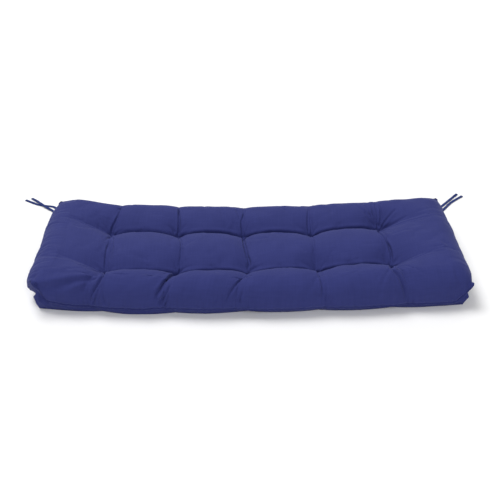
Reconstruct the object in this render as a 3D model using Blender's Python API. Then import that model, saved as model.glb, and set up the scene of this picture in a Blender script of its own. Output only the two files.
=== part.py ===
"""Tufted bench cushion lying on its back, with a pair of narrow ties at each back corner.

Metres, +Z up. X runs along the bench, -Y is the front edge, and z = 0 is the seat it rests on.
The origin is the middle of the cushion's underside.
"""

import math

import bpy
import numpy as np

# Cut size of the cover panels, seam to seam.
PANEL_LENGTH = 1.220
PANEL_DEPTH = 0.458
HALF_LENGTH = PANEL_LENGTH / 2
HALF_DEPTH = PANEL_DEPTH / 2
SETBACK = 0.037           # how far both ends lie behind the middle of the cushion
SETBACK_BALANCE = 0.523   # share of it that puts the origin in the middle of the outline

# Crown and rounded edge of the filled form.
CROWN = 0.110             # height of the pillows in the middle
END_LIFT = 0.011          # the end pillows are plumper
LIFT_POWER = 3            # how close to the ends that lift stays
ROLL = 0.060              # plan width of the rounded edge
ROLL_ANGLE = math.radians(102)
ROLL_EASE = 1.6           # above 1, the edge turns over later and more sharply
EDGE_FALL = 0.074         # height of the rounded edge for each unit of 1 - cos(angle)
SWELL_LEFT = 0.023        # how far the left end bellies out past its seam
SWELL_RIGHT = 0.013       # and the right end
SWELL_POWER = 6           # how close to the corners that swell reaches
EAR_POWER = 1.4           # how far along an edge a corner's ear holds it up
TIP_POWER = 6            # how close to its tip an ear's seams have dropped
DROP_WIDTH_POWER = 4      # how close to the seam that drop stays
RISE_REACH = 0.060        # how far along a seam it starts to rise towards an ear
EARS = [                  # side along X and Y, height of the ear, drop and slow rise of the seams beside it
    {"x": -1, "y": -1, "height": 0.099, "drop": 0.045, "rise": 0.030},
    {"x": 1, "y": -1, "height": 0.080, "drop": 0.050, "rise": 0.0},
    {"x": -1, "y": 1, "height": 0.092, "drop": 0.008, "rise": 0.0},
    {"x": 1, "y": 1, "height": 0.090, "drop": 0.008, "rise": 0.0},
]

# Tufts: two rows of five, with the shift of each from the even lattice.
ROWS = (-0.096, 0.092)
COLUMNS = (-0.427, -0.219, -0.015, 0.189, 0.400)
TUFT_DEPTH = 0.059        # below the crown
TUFT_SHIFTS = [           # column, front row along X and Y, back row along X and Y
    {"column": 0, "front_x": 0.003, "front_y": -0.026, "back_x": -0.001, "back_y": -0.018},
    {"column": 1, "front_x": 0.004, "front_y": -0.015, "back_x": -0.002, "back_y": -0.016},
    {"column": 2, "front_x": 0.004, "front_y": -0.013, "back_x": -0.005, "back_y": -0.015},
    {"column": 3, "front_x": 0.004, "front_y": -0.009, "back_x": -0.001, "back_y": -0.017},
    {"column": 4, "front_x": 0.006, "front_y": -0.002, "back_x": -0.001, "back_y": -0.003},
]

# Sewn-down valleys between the tufts, as depths below the crown half way along each.
ROW_VALLEY = 0.036
END_VALLEY = 0.021        # where a row starts to run out towards an end
END_REACH = 0.135         # how far it runs
COLUMN_VALLEYS = [        # column, its depth behind, between and before the rows, its lean at each rim
    {"column": 0, "back": 0.021, "middle": 0.022, "front": 0.014, "lean_back": 0.026, "lean_front": -0.040},
    {"column": 1, "back": 0.018, "middle": 0.017, "front": 0.022, "lean_back": 0.000, "lean_front": -0.030},
    {"column": 2, "back": 0.013, "middle": 0.022, "front": 0.015, "lean_back": -0.008, "lean_front": -0.035},
    {"column": 3, "back": 0.011, "middle": 0.013, "front": 0.012, "lean_back": 0.008, "lean_front": 0.010},
    {"column": 4, "back": 0.002, "middle": 0.020, "front": 0.014, "lean_back": 0.000, "lean_front": 0.030},
]
RIM_SHARE = 0.30          # share of a column's valley that is left at the seam
ROW_POWER = 2.2           # how sharply a row's valley closes
COLUMN_POWER = 3.2        # and a column's
COLUMN_REACH = 0.103      # half the pitch of the columns
ROW_REACH_IN = 0.094      # half the pitch of the rows
ROW_REACH_OUT = 0.078     # from a row out to the crown of the outer pillows

# Underside: a panel a little smaller than the top one, dimpled where it is tufted.
BASE_INSET = 0.013
BASE_NOTCH = 0.008        # how far the underside's long edges draw in at each column
FRONT_PLACES = (-0.61, -0.36, -0.23, -0.04, 0.10, 0.26, 0.36, 0.61)
FRONT_DRAWS = (0.003, -0.004, 0.001, 0.010, 0.010, 0.008, 0.006, 0.001)   # front edge, inwards
BASE_TUFT = 0.024
BASE_REACH = 0.085
BASE_PRESS = 0.003        # the floor presses this much of each dimple flat
BAND_FOLDS = 2            # level creases of the slack side band at the corners
BAND_CRUMPLE = 0.004

# Mesh lines: zone edge to zone edge, with the number of steps.
END_STEPS = 6
CELL_STEPS = 9
MARGIN_STEPS = 5
ROLL_STEPS = 6
BAND_STEPS = 4
CROWDING = 0.6            # how far an eased zone's lines crowd at its edges, from 0 to 1

# Ties: narrow folded strips of the cover cloth.
TIE_WIDTH = 0.0088
TIE_THICKNESS = 0.0025
TIE_REST = 0.0015         # height of a tie's middle where it lies on the seat
TIE_POINTS = 20
TIE_SAMPLES = 12          # points of the smooth route between two hand-picked ones
TIE_EDGE_STEPS = 2
TIES = {                  # the route of each, root first, in hand-picked points
    "tie_left_outer": [
        (-0.6007, 0.2369, 0.0300),
        (-0.6150, 0.2560, 0.0230),
        (-0.6300, 0.2900, 0.0060),
        (-0.6440, 0.3230, TIE_REST),
        (-0.6610, 0.3450, TIE_REST),
        (-0.6880, 0.3525, TIE_REST),
        (-0.7140, 0.3595, TIE_REST),
        (-0.7380, 0.3735, TIE_REST),
        (-0.7670, 0.3925, TIE_REST),
    ],
    "tie_left_inner": [
        (-0.6006, 0.2363, 0.0235),
        (-0.6190, 0.2500, 0.0160),
        (-0.6370, 0.2720, 0.0030),
        (-0.6480, 0.2970, TIE_REST),
        (-0.6590, 0.3180, 0.0022),
        (-0.6860, 0.3395, 0.0050),
        (-0.7060, 0.3595, 0.0058),
        (-0.7280, 0.3845, 0.0032),
        (-0.7480, 0.4035, TIE_REST),
    ],
    "tie_right_outer": [
        (0.6006, 0.2363, 0.0235),
        (0.6190, 0.2500, 0.0160),
        (0.6380, 0.2740, 0.0030),
        (0.6520, 0.2970, TIE_REST),
        (0.6680, 0.3180, TIE_REST),
        (0.7000, 0.3565, TIE_REST),
        (0.7470, 0.3975, TIE_REST),
    ],
    "tie_right_inner": [
        (0.6007, 0.2369, 0.0300),
        (0.6130, 0.2560, 0.0230),
        (0.6270, 0.2840, 0.0060),
        (0.6400, 0.3060, TIE_REST),
        (0.6570, 0.3270, TIE_REST),
        (0.6920, 0.3665, TIE_REST),
        (0.7320, 0.4115, TIE_REST),
    ],
}

# Colours as linear red, green and blue.
CLOTH_BLUE = (0.0423, 0.0529, 0.195, 1.0)
TIE_BLUE = (0.0350, 0.0480, 0.175, 1.0)
CLOTH_ROUGHNESS = 0.88


def clear_scene():
    """Remove every object, so that the part stands alone."""
    for item in list(bpy.data.objects):
        bpy.data.objects.remove(item, do_unlink=True)


def cloth_material(name, colour):
    """Matt woven cloth."""
    material = bpy.data.materials.new(name)
    material.use_nodes = True
    shader = material.node_tree.nodes["Principled BSDF"]
    shader.inputs["Base Color"].default_value = colour
    shader.inputs["Roughness"].default_value = CLOTH_ROUGHNESS
    shader.inputs["Metallic"].default_value = 0.0
    material.diffuse_color = colour
    return material


def zone_lines(edges, steps, ease):
    """Mesh lines from edge to edge; an eased zone crowds its lines at both of its edges."""
    lines = [edges[0]]
    for start, end, count, eased in zip(edges[:-1], edges[1:], steps, ease):
        share = np.linspace(0.0, 1.0, count + 1)[1:]
        if eased:
            share = share - CROWDING * np.sin(2 * np.pi * share) / (2 * np.pi)
        lines.extend(start + (end - start) * share)
    return np.array(lines)


def mesh_lines():
    """Lines along X and along Y, with one on each row and column of tufts."""
    flat_x = HALF_LENGTH - ROLL
    flat_y = HALF_DEPTH - ROLL
    cells = len(COLUMNS) - 1
    edges_x = [-HALF_LENGTH, -flat_x, *COLUMNS, flat_x, HALF_LENGTH]
    steps_x = [ROLL_STEPS, END_STEPS] + [CELL_STEPS] * cells + [END_STEPS, ROLL_STEPS]
    ease_x = [False, False] + [True] * cells + [False, False]
    edges_y = [-HALF_DEPTH, -flat_y, *ROWS, flat_y, HALF_DEPTH]
    steps_y = [ROLL_STEPS, MARGIN_STEPS, CELL_STEPS, MARGIN_STEPS, ROLL_STEPS]
    ease_y = [False, False, True, False, False]
    return zone_lines(edges_x, steps_x, ease_x), zone_lines(edges_y, steps_y, ease_y)


def ear_values(across, along, key):
    """A value of the nearest corner's ear, blended between the four corners."""
    share_x = 0.5 + 0.5 * across / HALF_LENGTH
    share_y = 0.5 + 0.5 * along / HALF_DEPTH
    total = np.zeros_like(across)
    for ear in EARS:
        weight_x = share_x if ear["x"] > 0 else 1 - share_x
        weight_y = share_y if ear["y"] > 0 else 1 - share_y
        total = total + ear[key] * weight_x * weight_y
    return total


def slab(across, along):
    """The crowned form without its tufts: flat on top, rolled over at the edges, eared at the corners.

    A point of the flat panel in the edge zone turns through ROLL_ANGLE on an arc. Towards a corner
    the arc opens into a straight run out to the ear, with the other direction's share of the edge.
    """
    turn_x = np.clip((np.abs(across) - (HALF_LENGTH - ROLL)) / ROLL, 0, 1)
    turn_y = np.clip((np.abs(along) - (HALF_DEPTH - ROLL)) / ROLL, 0, 1)
    hold_x = 1 - turn_y ** EAR_POWER
    hold_y = 1 - turn_x ** EAR_POWER
    angle_x = ROLL_ANGLE * turn_x ** ROLL_EASE
    angle_y = ROLL_ANGLE * turn_y ** ROLL_EASE
    swell = np.where(across < 0, SWELL_LEFT, SWELL_RIGHT)
    belly = swell * hold_x * np.sin(angle_x) * (1 - (np.abs(along) / HALF_DEPTH) ** SWELL_POWER)
    reach_x = ROLL * (hold_x * np.sin(angle_x) + (1 - hold_x) * turn_x) + belly
    reach_y = ROLL * (hold_y * np.sin(angle_y) + (1 - hold_y) * turn_y)
    x = np.minimum(np.abs(across), HALF_LENGTH - ROLL) + reach_x
    y = np.minimum(np.abs(along), HALF_DEPTH - ROLL) + reach_y
    top = CROWN + END_LIFT * (np.abs(across) / HALF_LENGTH) ** LIFT_POWER
    fall = EDGE_FALL * (2 - np.cos(hold_x * angle_x) - np.cos(hold_y * angle_y))
    to_ear = (top - ear_values(across, along, "height")) * turn_x * turn_y
    beside_x = turn_x * (1 - turn_x ** TIP_POWER) * turn_y ** DROP_WIDTH_POWER
    beside_y = turn_y * (1 - turn_y ** TIP_POWER) * turn_x ** DROP_WIDTH_POWER
    drop = ear_values(across, along, "drop") * np.maximum(beside_x, beside_y)
    before_tip = np.exp((np.abs(across) - HALF_LENGTH) / RISE_REACH) * (1 - turn_x ** TIP_POWER)
    rise = ear_values(across, along, "rise") * before_tip * turn_y ** DROP_WIDTH_POWER
    return np.stack([np.sign(across) * x, np.sign(along) * y, top - fall - to_ear - drop + rise], -1)


def closeness(distance, reach, power):
    """1 on a valley's line, falling to 0 at its reach."""
    return (1 - np.clip(np.abs(distance) / reach, 0, 1)) ** power


def tuft_relief(across, along):
    """Depth of the tufted relief below the slab.

    On a tuft it is TUFT_DEPTH, half way along a row's valley it is ROW_VALLEY, and half way along a
    column's valley it is the depth in the column's own line of the table.
    """
    column_gap = np.min([np.abs(across - line) for line in COLUMNS], axis=0)
    past_last = np.maximum(COLUMNS[0] - across, across - COLUMNS[-1])
    beyond = np.clip(past_last / END_REACH, 0, 1)
    between_rows = (along > ROWS[0]) & (along < ROWS[1])
    row_gap = np.min([np.abs(along - line) for line in ROWS], axis=0)
    row_reach = np.where(between_rows, ROW_REACH_IN, ROW_REACH_OUT)
    on_column = closeness(column_gap, COLUMN_REACH, COLUMN_POWER)
    on_row = closeness(row_gap, row_reach, ROW_POWER)
    row_depth = np.where(past_last > 0, END_VALLEY * (1 - beyond), ROW_VALLEY)
    nearest = np.argmin([np.abs(across - line) for line in COLUMNS], axis=0)
    to_rim = np.clip((row_gap - ROW_REACH_OUT) / (HALF_DEPTH - ROWS[1] - ROW_REACH_OUT), 0, 1)
    outer_share = 1 - (1 - RIM_SHARE) * to_rim
    table = {key: np.array([row[key] for row in COLUMN_VALLEYS])[nearest]
             for key in ("back", "middle", "front")}
    outer = np.where(along > 0, table["back"], table["front"]) * outer_share
    column_depth = np.where(between_rows, table["middle"], outer)
    return (TUFT_DEPTH * on_column * on_row
            + row_depth * (1 - on_column) * on_row
            + column_depth * on_column * (1 - on_row))


def tuft_shift(across, along):
    """Plan shift of the cloth: from the even lattice to the real tufts, and to each valley's lean."""
    stations = [-HALF_LENGTH, *COLUMNS, HALF_LENGTH]

    def line(values):
        return np.interp(across, stations, [0.0, *values, 0.0])

    share = np.clip((along - ROWS[0]) / (ROWS[1] - ROWS[0]), 0, 1)
    outward = np.where(along > 0, (along - ROWS[1]) / (HALF_DEPTH - ROWS[1]),
                       (ROWS[0] - along) / (HALF_DEPTH + ROWS[0]))
    outward = np.clip(outward, 0, 1)
    rim_x = np.where(along > 0, line([row["lean_back"] for row in COLUMN_VALLEYS]),
                     line([row["lean_front"] for row in COLUMN_VALLEYS]))
    inner = []
    for axis in ("x", "y"):
        front = line([row["front_" + axis] for row in TUFT_SHIFTS])
        back = line([row["back_" + axis] for row in TUFT_SHIFTS])
        inner.append(((1 - share) * front + share * back) * (1 - outward))
    return inner[0] + rim_x * outward, inner[1]


def bow(points):
    """Set both ends back from the middle, evenly about the origin."""
    moved = points.copy()
    moved[..., 1] += SETBACK * ((points[..., 0] / HALF_LENGTH) ** 2 - SETBACK_BALANCE)
    return moved


def top_panel(across, along):
    """Points of the top panel: the slab, pulled in along its normal by the tufted relief."""
    form = slab(across, along)
    along_x = np.gradient(form, axis=0)
    along_y = np.gradient(form, axis=1)
    normal = np.cross(along_x, along_y)
    normal /= np.linalg.norm(normal, axis=-1, keepdims=True)
    form = form - normal * tuft_relief(across, along)[..., None]
    shift_x, shift_y = tuft_shift(across, along)
    form[..., 0] += shift_x
    form[..., 1] += shift_y
    return bow(form)


def base_panel(across, along):
    """Points of the underside: flat on the seat, drawn up in a soft cone at each tuft."""
    column_gap = np.min([np.abs(across - line) for line in COLUMNS], axis=0)
    notch = BASE_NOTCH * closeness(column_gap, COLUMN_REACH, ROW_POWER)
    scale_x = (HALF_LENGTH - BASE_INSET) / HALF_LENGTH
    front_draw = np.where(along < 0, np.interp(across, FRONT_PLACES, FRONT_DRAWS), 0.0)
    scale_y = (HALF_DEPTH - BASE_INSET - notch - front_draw) / HALF_DEPTH
    height = np.zeros_like(across)
    for column in COLUMNS:
        for row in ROWS:
            gap = np.hypot(across - column, along - row)
            height = np.maximum(height, BASE_TUFT * closeness(gap, BASE_REACH, ROW_POWER))
    height = np.maximum(height - BASE_PRESS, 0.0)
    return bow(np.stack([across * scale_x, along * scale_y, height], -1))


def rim_walk(rows, columns):
    """Grid places around the rim of a panel, counter-clockwise seen from above."""
    front = [(i, 0) for i in range(rows - 1)]
    right = [(rows - 1, j) for j in range(columns - 1)]
    back = [(i, columns - 1) for i in range(rows - 1, 0, -1)]
    left = [(0, j) for j in range(columns - 1, 0, -1)]
    return np.array(front + right + back + left)


def band_rings(upper, lower):
    """Rings of the side band between the two seams, with level creases where it is tall and slack."""
    outward = upper[:, :2] / np.linalg.norm(upper[:, :2], axis=1, keepdims=True)
    tall = np.clip(upper[:, 2] / CROWN, 0, 1)
    rings = []
    for step in range(1, BAND_STEPS):
        share = step / BAND_STEPS
        ring = upper + (lower - upper) * share
        crease = BAND_CRUMPLE * tall * math.cos(BAND_FOLDS * math.pi * share)
        ring[:, :2] += outward * crease[:, None]
        rings.append(ring)
    return rings


def build_cushion():
    """One closed skin: top panel, side band and underside share their seam points."""
    lines_x, lines_y = mesh_lines()
    across, along = np.meshgrid(lines_x, lines_y, indexing="ij")
    rows, columns = across.shape
    top = top_panel(across, along)
    base = base_panel(across, along)
    walk = rim_walk(rows, columns)
    top_index = np.arange(rows * columns).reshape(rows, columns)
    base_index = top_index + rows * columns
    points = [top.reshape(-1, 3), base.reshape(-1, 3)]
    loops = [top_index[walk[:, 0], walk[:, 1]]]
    first = 2 * rows * columns
    for ring in band_rings(top[walk[:, 0], walk[:, 1]], base[walk[:, 0], walk[:, 1]]):
        points.append(ring)
        loops.append(np.arange(first, first + len(walk)))
        first += len(walk)
    loops.append(base_index[walk[:, 0], walk[:, 1]])

    faces = []
    for grid, faces_up in ((top_index, True), (base_index, False)):
        quads = np.stack([grid[:-1, :-1], grid[1:, :-1], grid[1:, 1:], grid[:-1, 1:]], -1).reshape(-1, 4)
        faces.append(quads if faces_up else quads[:, ::-1])
    for above, below in zip(loops[:-1], loops[1:]):
        faces.append(np.stack([below, np.roll(below, -1), np.roll(above, -1), above], -1))
    mesh = bpy.data.meshes.new("cushion")
    mesh.from_pydata(np.concatenate(points).tolist(), [], np.concatenate(faces).tolist())
    mesh.update()
    mesh.shade_smooth()
    cushion = bpy.data.objects.new("cushion", mesh)
    cushion.data.materials.append(cloth_material("woven_cover_blue", CLOTH_BLUE))
    bpy.context.scene.collection.objects.link(cushion)
    return cushion


def smooth_route(route, count):
    """Evenly spread points of a Catmull-Rom curve through the route's own points."""
    own = np.array(route)
    padded = np.vstack([2 * own[0] - own[1], own, 2 * own[-1] - own[-2]])
    share = np.linspace(0, 1, TIE_SAMPLES, endpoint=False)[:, None]
    dense = []
    for before, start, end, after in zip(padded[:-3], padded[1:-2], padded[2:-1], padded[3:]):
        dense.append(0.5 * (2 * start + (end - before) * share
                            + (2 * before - 5 * start + 4 * end - after) * share ** 2
                            + (3 * start - before - 3 * end + after) * share ** 3))
    dense = np.vstack([*dense, own[-1:]])
    dense[:, 2] = np.maximum(dense[:, 2], TIE_REST)
    travel = np.concatenate([[0], np.cumsum(np.linalg.norm(np.diff(dense, axis=0), axis=1))])
    even = np.linspace(0, travel[-1], count)
    return np.stack([np.interp(even, travel, dense[:, axis]) for axis in range(3)], 1)


def build_tie(name, route, material):
    """A flat strip along its route: a curve widened by an extrusion and rounded by a bevel."""
    curve = bpy.data.curves.new(name, "CURVE")
    curve.dimensions = "3D"
    curve.twist_mode = "Z_UP"
    curve.extrude = (TIE_WIDTH - TIE_THICKNESS) / 2
    curve.bevel_depth = TIE_THICKNESS / 2
    curve.bevel_resolution = TIE_EDGE_STEPS
    curve.use_fill_caps = True
    spline = curve.splines.new("POLY")
    points = smooth_route(route, TIE_POINTS)
    spline.points.add(len(points) - 1)
    for target, point in zip(spline.points, points):
        target.co = (*point, 1.0)
        target.tilt = math.radians(90)
    tie = bpy.data.objects.new(name, curve)
    tie.data.materials.append(material)
    bpy.context.scene.collection.objects.link(tie)
    return tie


def main():
    clear_scene()
    build_cushion()
    tie_cloth = cloth_material("folded_tie_cloth_blue", TIE_BLUE)
    for name, route in TIES.items():
        build_tie(name, route, tie_cloth)


main()
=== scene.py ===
# %% [markdown]
# This lesson dresses a tufted bench cushion. The imported model is the fixed frame: it gives the place
# and the size of everything, and nothing here moves or resizes it. All lengths are in metres.

# %% The frame
import math

import bpy
import numpy as np
from mathutils import Matrix, Vector


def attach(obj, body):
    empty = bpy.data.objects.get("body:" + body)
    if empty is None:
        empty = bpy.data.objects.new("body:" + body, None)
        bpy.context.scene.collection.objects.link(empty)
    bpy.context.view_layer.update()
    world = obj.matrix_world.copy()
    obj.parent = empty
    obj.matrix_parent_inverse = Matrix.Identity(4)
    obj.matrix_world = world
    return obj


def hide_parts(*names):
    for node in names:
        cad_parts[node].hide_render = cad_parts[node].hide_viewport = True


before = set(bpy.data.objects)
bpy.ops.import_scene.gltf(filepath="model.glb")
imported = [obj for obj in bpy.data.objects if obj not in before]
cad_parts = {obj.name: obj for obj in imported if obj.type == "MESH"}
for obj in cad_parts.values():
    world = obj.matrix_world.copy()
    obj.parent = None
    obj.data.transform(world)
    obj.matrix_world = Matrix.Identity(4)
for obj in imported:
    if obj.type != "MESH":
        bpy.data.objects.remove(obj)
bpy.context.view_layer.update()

MM = 0.001
print("solids:", sorted(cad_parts))

# %% [markdown]
# The camera stands in front of the cushion, 1.34 m up, and looks down on it by about 35 degrees.
# Its place was worked out from the tufts and corners in the photograph. A camera could be aimed with
# a constraint, but a matrix of three directions says exactly where right, up and back are.

# %% The camera
SENSOR = 36.0
FOCAL_IN_FRAMES = 1.5048     # focal length for a frame one unit wide
EYE = (-0.0458, -1.8495, 1.3423)
LOOK_DOWN = math.radians(34.81)
LOOK_RIGHT = math.radians(1.348)
LEAN = math.radians(0.253)

forward = np.array([math.cos(LOOK_DOWN) * math.sin(LOOK_RIGHT),
                    math.cos(LOOK_DOWN) * math.cos(LOOK_RIGHT), -math.sin(LOOK_DOWN)])
level_right = np.array([math.cos(LOOK_RIGHT), -math.sin(LOOK_RIGHT), 0.0])
level_up = np.cross(level_right, forward)
right = math.cos(LEAN) * level_right + math.sin(LEAN) * level_up
up = math.cos(LEAN) * level_up - math.sin(LEAN) * level_right

camera_data = bpy.data.cameras.new("camera")
camera_data.sensor_width = SENSOR
camera_data.lens = SENSOR * FOCAL_IN_FRAMES
camera = bpy.data.objects.new("camera", camera_data)
bpy.context.scene.collection.objects.link(camera)
turn = Matrix(np.stack([right, up, -forward], 1).tolist()).to_4x4()
camera.matrix_world = Matrix.Translation(EYE) @ turn
bpy.context.scene.camera = camera
print("lens in mm:", round(camera_data.lens, 2))

# %% [markdown]
# The cushion lies on a plain pale floor. The light comes from a broad softbox high up behind it on the
# left, a weaker one on the camera's side, one that keeps the floor behind it white, and a pale
# surround. One lamp would be simpler, but it would cut hard shadows into the soft creases. Colours are
# meant as they are written, so the view is Standard.

# %% Floor and light
FLOOR_DROP = 0.0004          # keeps the floor clear of the cloth that rests on it
FLOOR_SIZE = 14.0
SURROUND = 0.32              # strength of the pale surround


def linear(code, share=1.0):
    """A hex sRGB colour as linear red, green, blue and alpha, times a share of light."""
    parts = [int(code[at:at + 2], 16) / 255 for at in (1, 3, 5)]
    return tuple(share * (part / 12.92 if part <= 0.04045 else ((part + 0.055) / 1.055) ** 2.4)
                 for part in parts) + (1.0,)


def add(material, kind, links=None, values=None, **settings):
    """One node, with its settings, its sockets' own values and the sockets that feed it."""
    tree = material.node_tree
    node = tree.nodes.new(kind)
    for key, setting in settings.items():
        setattr(node, key, setting)
    for key, value in (values or {}).items():
        node.inputs[key].default_value = value
    for key, socket in (links or {}).items():
        tree.links.new(socket, node.inputs[key])
    return node


def new_material(name):
    """An empty node material and its Principled shader, which is already on the output."""
    material = bpy.data.materials.new(name)
    material.use_nodes = True
    material.node_tree.nodes.clear()
    shader = add(material, "ShaderNodeBsdfPrincipled")
    add(material, "ShaderNodeOutputMaterial", {"Surface": shader.outputs["BSDF"]})
    return material, shader


def new_object(name, points, faces, material, smooth=True):
    """A mesh object at the origin from whole arrays of points and of four-cornered faces."""
    mesh = bpy.data.meshes.new(name)
    mesh.from_pydata(np.asarray(points).tolist(), [], np.asarray(faces).tolist())
    mesh.update()
    if smooth:
        mesh.shade_smooth()
    mesh.materials.append(material)
    piece = bpy.data.objects.new(name, mesh)
    bpy.context.scene.collection.objects.link(piece)
    return piece


def area_light(name, place, target, size, power, colour):
    """A rectangular softbox at a place, facing its target."""
    data = bpy.data.lights.new(name, "AREA")
    data.shape = "RECTANGLE"
    data.size, data.size_y = size
    data.energy = power
    data.color = linear(colour)[:3]
    lamp = bpy.data.objects.new(name, data)
    bpy.context.scene.collection.objects.link(lamp)
    aim = Vector(target) - Vector(place)
    lamp.matrix_world = Matrix.Translation(place) @ aim.to_track_quat("-Z", "Y").to_matrix().to_4x4()


floor_material, floor_shader = new_material("painted_board_matt_white")
floor_shader.inputs["Base Color"].default_value = linear("#F4F4F4")
floor_shader.inputs["Roughness"].default_value = 0.9
floor_shader.inputs["Specular IOR Level"].default_value = 0.2
half = FLOOR_SIZE / 2
floor = new_object("floor", [(-half, -half, -FLOOR_DROP), (half, -half, -FLOOR_DROP),
                             (half, half, -FLOOR_DROP), (-half, half, -FLOOR_DROP)],
                   [(0, 1, 2, 3)], floor_material, smooth=False)

scene = bpy.context.scene
scene.view_settings.view_transform = "Standard"
scene.view_settings.look = "None"
world = bpy.data.worlds.new("pale_surround")
world.use_nodes = True
world.node_tree.nodes["Background"].inputs["Color"].default_value = linear("#FFFFFF")
world.node_tree.nodes["Background"].inputs["Strength"].default_value = SURROUND
scene.world = world
area_light("softbox_left", (-3.6, 2.4, 9.0), (0.0, 0.0, 0.0), (6.0, 4.6), 740.0, "#FFFFFF")
area_light("softbox_front", (1.3, -4.3, 3.8), (0.1, 0.0, 0.1), (3.2, 1.8), 122.0, "#FFFFFF")
area_light("softbox_far", (0.0, 4.4, 2.6), (0.0, 4.4, 0.0), (7.0, 3.0), 90.0, "#FFFFFF")
print("floor, three softboxes and a pale surround")

# %% [markdown]
# A tie is a strip of the cover's cloth, folded in and in half and stitched shut, about 9 mm wide.
# Two are sewn into the seam at each back corner. They drop to the seat and lie there in loose curves.
# Their routes are a few listed points. A smooth curve is read through them, because straight
# runs between the points would look like bent wire.

# %% Routes of the ties
TIE_WIDTH = 0.0088
TIE_REST = 0.0015            # height of a tie's middle where it lies on the seat
TIE_RINGS = 96
TIE_SAMPLES = 12
TIES = {                     # root first, the same points as the solids have
    "tie_left_outer": [
        (-0.6007, 0.2369, 0.0300), (-0.6150, 0.2560, 0.0230), (-0.6300, 0.2900, 0.0060),
        (-0.6440, 0.3230, TIE_REST), (-0.6610, 0.3450, TIE_REST), (-0.6880, 0.3525, TIE_REST),
        (-0.7140, 0.3595, TIE_REST), (-0.7380, 0.3735, TIE_REST), (-0.7670, 0.3925, TIE_REST),
    ],
    "tie_left_inner": [
        (-0.6006, 0.2363, 0.0235), (-0.6190, 0.2500, 0.0160), (-0.6370, 0.2720, 0.0030),
        (-0.6480, 0.2970, TIE_REST), (-0.6590, 0.3180, 0.0022), (-0.6860, 0.3395, 0.0050),
        (-0.7060, 0.3595, 0.0058), (-0.7280, 0.3845, 0.0032), (-0.7480, 0.4035, TIE_REST),
    ],
    "tie_right_outer": [
        (0.6006, 0.2363, 0.0235), (0.6190, 0.2500, 0.0160), (0.6380, 0.2740, 0.0030),
        (0.6520, 0.2970, TIE_REST), (0.6680, 0.3180, TIE_REST), (0.7000, 0.3565, TIE_REST),
        (0.7470, 0.3975, TIE_REST),
    ],
    "tie_right_inner": [
        (0.6007, 0.2369, 0.0300), (0.6130, 0.2560, 0.0230), (0.6270, 0.2840, 0.0060),
        (0.6400, 0.3060, TIE_REST), (0.6570, 0.3270, TIE_REST), (0.6920, 0.3665, TIE_REST),
        (0.7320, 0.4115, TIE_REST),
    ],
}


def travel_along(points):
    """Distance travelled at each point of a line, from 0 at its first one."""
    steps = np.linalg.norm(np.diff(points, axis=0), axis=1)
    return np.concatenate([[0], np.cumsum(steps)])


def smooth_route(route, count):
    """Evenly spread points of a smooth curve through the route's own points.

    Between two of them it is the cubic that leaves each one in the direction from the point before
    it to the point after it, by half that step.
    """
    own = np.array(route)
    padded = np.vstack([2 * own[0] - own[1], own, 2 * own[-1] - own[-2]])
    share = np.linspace(0, 1, TIE_SAMPLES, endpoint=False)[:, None]
    dense = []
    for before, start, end, after in zip(padded[:-3], padded[1:-2], padded[2:-1], padded[3:]):
        dense.append(0.5 * (2 * start + (end - before) * share
                            + (2 * before - 5 * start + 4 * end - after) * share ** 2
                            + (3 * start - before - 3 * end + after) * share ** 3))
    dense = np.vstack([*dense, own[-1:]])
    if own.shape[1] == 3:
        dense[:, 2] = np.maximum(dense[:, 2], TIE_REST)
    travel = travel_along(dense)
    even = np.linspace(0, travel[-1], count)
    return np.stack([np.interp(even, travel, dense[:, axis]) for axis in range(own.shape[1])], 1)


routes = {name: smooth_route(route, TIE_RINGS) for name, route in TIES.items()}
for name, route in routes.items():
    print(name, "is", round(float(travel_along(route)[-1]), 3), "m long")

# %% [markdown]
# The cover is a matt woven cloth of spun or textured polyester in a deep blue. Up close it is a plain
# weave: each thread goes over one and under the next. From a step away what is left is a soft, even
# colour with slightly paler threads here and there and a faint bloom of fibre ends at the edges.
# The pattern follows the cloth, so it reads the piece's own map, which is in metres.

# %% Woven cloth material
THREAD_PITCH = 1.1 * MM      # a guess, drawn coarse so that the weave shows
SLUB_CELL = 3.2 * MM         # size of the uneven places along a thread
SLUB_STRETCH = 0.06          # how little they change along it
DYE_CELL = 90 * MM           # size of the cloudy places in the dye


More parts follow.
